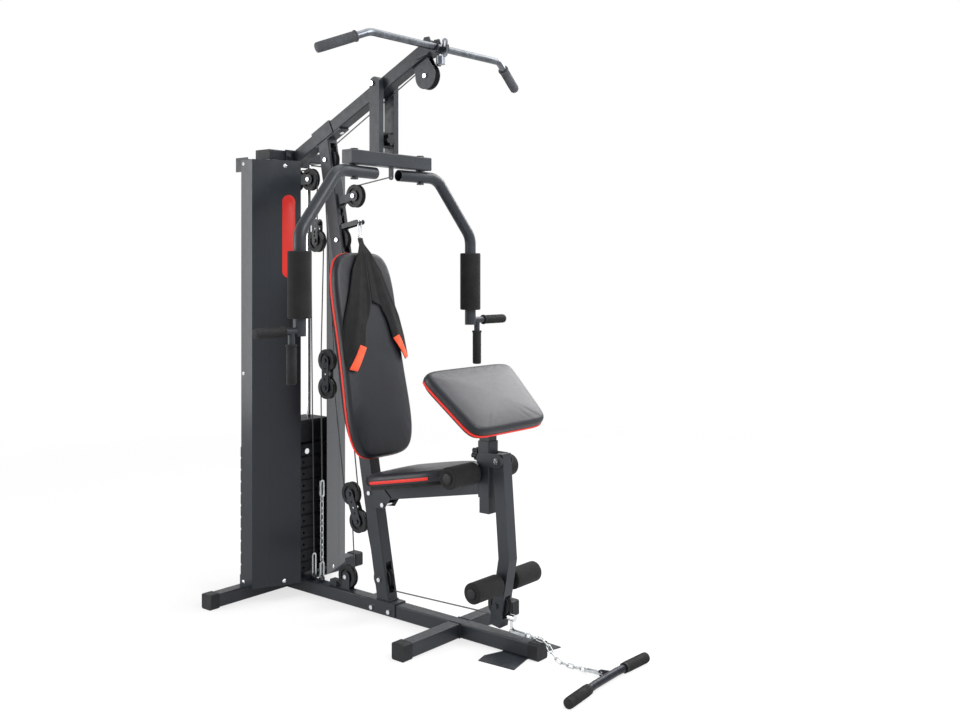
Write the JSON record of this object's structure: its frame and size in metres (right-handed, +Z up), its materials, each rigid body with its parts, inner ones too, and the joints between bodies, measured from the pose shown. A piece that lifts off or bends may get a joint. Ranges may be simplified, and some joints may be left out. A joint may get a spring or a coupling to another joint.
{
  "type": "multi station home gym",
  "caption": "Free-standing home gym: shrouded weight stack, cable pulleys, press and butterfly arms, seat, leg lever, curl desk, lat bar and rowing bar.",
  "frame": {"origin": "on the floor, below the centre of the bounding box", "axes": "+X the way the seated user faces, +Y the user's left, +Z up"},
  "size_m": [1.6508, 1.2918, 2.112],
  "materials": {
    "frame_paint": "satin dark graphite powder coat",
    "shroud_paint": "glossy dark blue-grey enamel",
    "bright_steel": "bright plating",
    "zinc_steel": "zinc plated",
    "black_plastic": "fine grained",
    "weight_plastic": "cement filled plastic",
    "foam": "closed cell foam",
    "vinyl": "satin upholstery vinyl",
    "webbing": "woven webbing with bright end patches",
    "cable_coat": "smooth cable coating",
    "red_plastic": "glossy"
  },
  "bodies": {
    "frame": {"main_beam": "frame_paint", "stabilizers": "frame_paint", "end_caps": "black_plastic", "main_post": "frame_paint", "boom": "frame_paint", "top_crossbar": "frame_paint", "guide_rods": "bright_steel", "resting_plates": "weight_plastic", "shroud_right": "shroud_paint", "shroud_left": "shroud_paint", "frame_brackets": "frame_paint", "pulley_brackets": "frame_paint", "frame_bolts": "zinc_steel", "seat_frame": "frame_paint", "pad_boards": "black_plastic", "seat_pad": "vinyl", "backrest_pad": "vinyl", "knee_rollers": "foam", "ab_strap": "webbing", "anchor_chain": "zinc_steel", "stack_cable": "cable_coat", "upper_cable": "cable_coat", "press_cable": "cable_coat", "low_cable": "cable_coat"},
    "stack": {"lifted_weights": "weight_plastic", "selector_stem": "bright_steel"},
    "pin": {"selector_pin": "red_plastic"},
    "hung": {"hung_block": "zinc_steel"},
    "twin": {"twin_block": "zinc_steel"},
    "rear": {"rear_block": "zinc_steel"},
    "press": {"press_frame": "frame_paint"},
    "press_screw": {"press_knob": "black_plastic"},
    "arm_right": {"fly_arm_right": "frame_paint", "fly_pad_right": "foam"},
    "arm_left": {"fly_arm_left": "frame_paint", "fly_pad_left": "foam"},
    "lever": {"leg_lever": "frame_paint", "leg_rollers": "foam", "row_stop": "foam"},
    "desk": {"curl_post": "frame_paint", "curl_pad": "vinyl"},
    "desk_screw": {"curl_knob": "black_plastic"},
    "lat": {"lat_bar": "bright_steel"},
    "row": {"row_bar": "bright_steel", "row_chain": "zinc_steel"},
    "boom_pulley_wheel": {"boom_pulley": "black_plastic"},
    "top_pulley_wheel": {"top_pulley": "black_plastic"},
    "mid_pulley_wheel": {"mid_pulley": "black_plastic"},
    "strap_pulley_wheel": {"strap_pulley": "black_plastic"},
    "low_pulley_wheel": {"low_pulley": "black_plastic"},
    "base_pulley_wheel": {"base_pulley": "black_plastic"},
    "crown_pulley_rear_wheel": {"crown_pulley_rear": "black_plastic"},
    "crown_pulley_front_wheel": {"crown_pulley_front": "black_plastic"},
    "hung_pulley_wheel": {"hung_pulley": "black_plastic"},
    "twin_pulley_upper_wheel": {"twin_pulley_upper": "black_plastic"},
    "twin_pulley_lower_wheel": {"twin_pulley_lower": "black_plastic"},
    "rear_pulley_upper_wheel": {"rear_pulley_upper": "black_plastic"},
    "rear_pulley_lower_wheel": {"rear_pulley_lower": "black_plastic"},
    "leg_pulley_wheel": {"leg_pulley": "black_plastic"}
  },
  "joints": [
    {"name": "stack_lift", "type": "slide", "parent": "frame", "child": "stack", "axis": [0, 0, 1], "range_m": [0, 0.125], "deforming": ["stack_cable"]},
    {"name": "pin_slide", "type": "slide", "parent": "stack", "child": "pin", "axis": [1, 0, 0], "range_m": [0, 0.028]},
    {"name": "hung_drop", "type": "slide", "parent": "frame", "child": "hung", "axis": [0, 0, -1], "range_m": [0, 0.126], "deforming": ["stack_cable", "upper_cable"]},
    {"name": "twin_drop", "type": "slide", "parent": "frame", "child": "twin", "axis": [0, 0, -1], "range_m": [0, 0.126], "deforming": ["upper_cable", "press_cable"]},
    {"name": "rear_drop", "type": "slide", "parent": "frame", "child": "rear", "axis": [0, 0, -1], "range_m": [0, 0.101], "deforming": ["press_cable", "low_cable"]},
    {"name": "press_swing", "type": "hinge", "parent": "frame", "child": "press", "pos_m": [-0.21551, 0, 1.97014], "axis": [0, -1, 0], "range_deg": [0, 40.2], "deforming": ["press_cable"]},
    {"name": "fly_right", "type": "hinge", "parent": "press", "child": "arm_right", "pos_m": [-0.18251, -0.174, 1.636], "axis": [0, 0, 1], "range_deg": [0, 75]},
    {"name": "fly_left", "type": "hinge", "parent": "press", "child": "arm_left", "pos_m": [-0.18251, 0.174, 1.636], "axis": [0, 0, -1], "range_deg": [0, 75]},
    {"name": "press_knob_turn", "type": "hinge", "parent": "press", "child": "press_screw", "pos_m": [-0.20551, 0, 1.765], "axis": [1, 0, 0], "continuous": true},
    {"name": "leg_swing", "type": "hinge", "parent": "frame", "child": "lever", "pos_m": [0.35475, 0, 0.637], "axis": [0, -1, 0], "range_deg": [0, 80], "deforming": ["low_cable"]},
    {"name": "desk_raise", "type": "slide", "parent": "frame", "child": "desk", "axis": [0, 0, 1], "range_m": [0, 0.1]},
    {"name": "desk_knob_turn", "type": "hinge", "parent": "frame", "child": "desk_screw", "pos_m": [0.26875, 0, 0.648], "axis": [1, 0, 0], "continuous": true},
    {"name": "lat_lift", "type": "slide", "parent": "frame", "child": "lat", "axis": [0, 0, 1], "range_m": [0, 0.06], "deforming": ["upper_cable"]},
    {"name": "row_pull", "type": "slide", "parent": "frame", "child": "row", "axis": [1, 0, 0], "range_m": [0, 0.4], "deforming": ["low_cable"]},
    {"name": "boom_pulley_spin", "type": "hinge", "parent": "frame", "child": "boom_pulley_wheel", "pos_m": [0.0148, 0, 1.97789], "axis": [0, 1, 0], "continuous": true},
    {"name": "top_pulley_spin", "type": "hinge", "parent": "frame", "child": "top_pulley_wheel", "pos_m": [-0.50009, 0, 1.70812], "axis": [0, 1, 0], "continuous": true},
    {"name": "mid_pulley_spin", "type": "hinge", "parent": "frame", "child": "mid_pulley_wheel", "pos_m": [-0.35625, 0, 1.56249], "axis": [0, 1, 0], "continuous": true},
    {"name": "strap_pulley_spin", "type": "hinge", "parent": "frame", "child": "strap_pulley_wheel", "pos_m": [-0.43442, 0, 1.39589], "axis": [0, 1, 0], "continuous": true},
    {"name": "low_pulley_spin", "type": "hinge", "parent": "frame", "child": "low_pulley_wheel", "pos_m": [-0.20542, 0, 0.1314], "axis": [0, 1, 0], "continuous": true},
    {"name": "base_pulley_spin", "type": "hinge", "parent": "frame", "child": "base_pulley_wheel", "pos_m": [-0.39825, 0, 0.1035], "axis": [0, 1, 0], "continuous": true},
    {"name": "crown_pulley_rear_spin", "type": "hinge", "parent": "frame", "child": "crown_pulley_rear_wheel", "pos_m": [-0.70235, 0, 1.639], "axis": [0, 1, 0], "continuous": true},
    {"name": "crown_pulley_front_spin", "type": "hinge", "parent": "frame", "child": "crown_pulley_front_wheel", "pos_m": [-0.61315, 0, 1.639], "axis": [0, 1, 0], "continuous": true},
    {"name": "hung_pulley_spin", "type": "hinge", "parent": "hung", "child": "hung_pulley_wheel", "pos_m": [-0.57525, 0, 1.394], "axis": [0, 1, 0], "continuous": true},
    {"name": "twin_pulley_upper_spin", "type": "hinge", "parent": "twin", "child": "twin_pulley_upper_wheel", "pos_m": [-0.51525, 0, 0.926], "axis": [0, 1, 0], "continuous": true},
    {"name": "twin_pulley_lower_spin", "type": "hinge", "parent": "twin", "child": "twin_pulley_lower_wheel", "pos_m": [-0.51525, 0, 0.819], "axis": [0, 1, 0], "continuous": true},
    {"name": "rear_pulley_upper_spin", "type": "hinge", "parent": "rear", "child": "rear_pulley_upper_wheel", "pos_m": [-0.37925, 0, 0.424], "axis": [0, 1, 0], "continuous": true},
    {"name": "rear_pulley_lower_spin", "type": "hinge", "parent": "rear", "child": "rear_pulley_lower_wheel", "pos_m": [-0.33725, 0, 0.324], "axis": [0, 1, 0], "continuous": true},
    {"name": "leg_pulley_spin", "type": "hinge", "parent": "lever", "child": "leg_pulley_wheel", "pos_m": [0.34575, 0, 0.147], "axis": [0, 1, 0], "continuous": true}
  ],
  "couplings": [
    {"joint": "press_swing", "follows": "stack_lift", "rad_per_m": 5.585},
    {"joint": "hung_drop", "follows": "stack_lift", "ratio": 1},
    {"joint": "twin_drop", "follows": "stack_lift", "ratio": 1},
    {"joint": "rear_drop", "follows": "leg_swing", "m_per_rad": 0.0716},
    {"joint": "crown_pulley_rear_spin", "follows": "stack_lift", "rad_per_m": 26.385},
    {"joint": "crown_pulley_front_spin", "follows": "stack_lift", "rad_per_m": 26.385},
    {"joint": "hung_pulley_spin", "follows": "stack_lift", "rad_per_m": 26.385},
    {"joint": "twin_pulley_upper_spin", "follows": "stack_lift", "rad_per_m": -26.385},
    {"joint": "twin_pulley_lower_spin", "follows": "stack_lift", "rad_per_m": 26.385},
    {"joint": "mid_pulley_spin", "follows": "stack_lift", "rad_per_m": 52.77},
    {"joint": "strap_pulley_spin", "follows": "stack_lift", "rad_per_m": 52.77},
    {"joint": "rear_pulley_upper_spin", "follows": "stack_lift", "rad_per_m": -52.77}
  ]
}
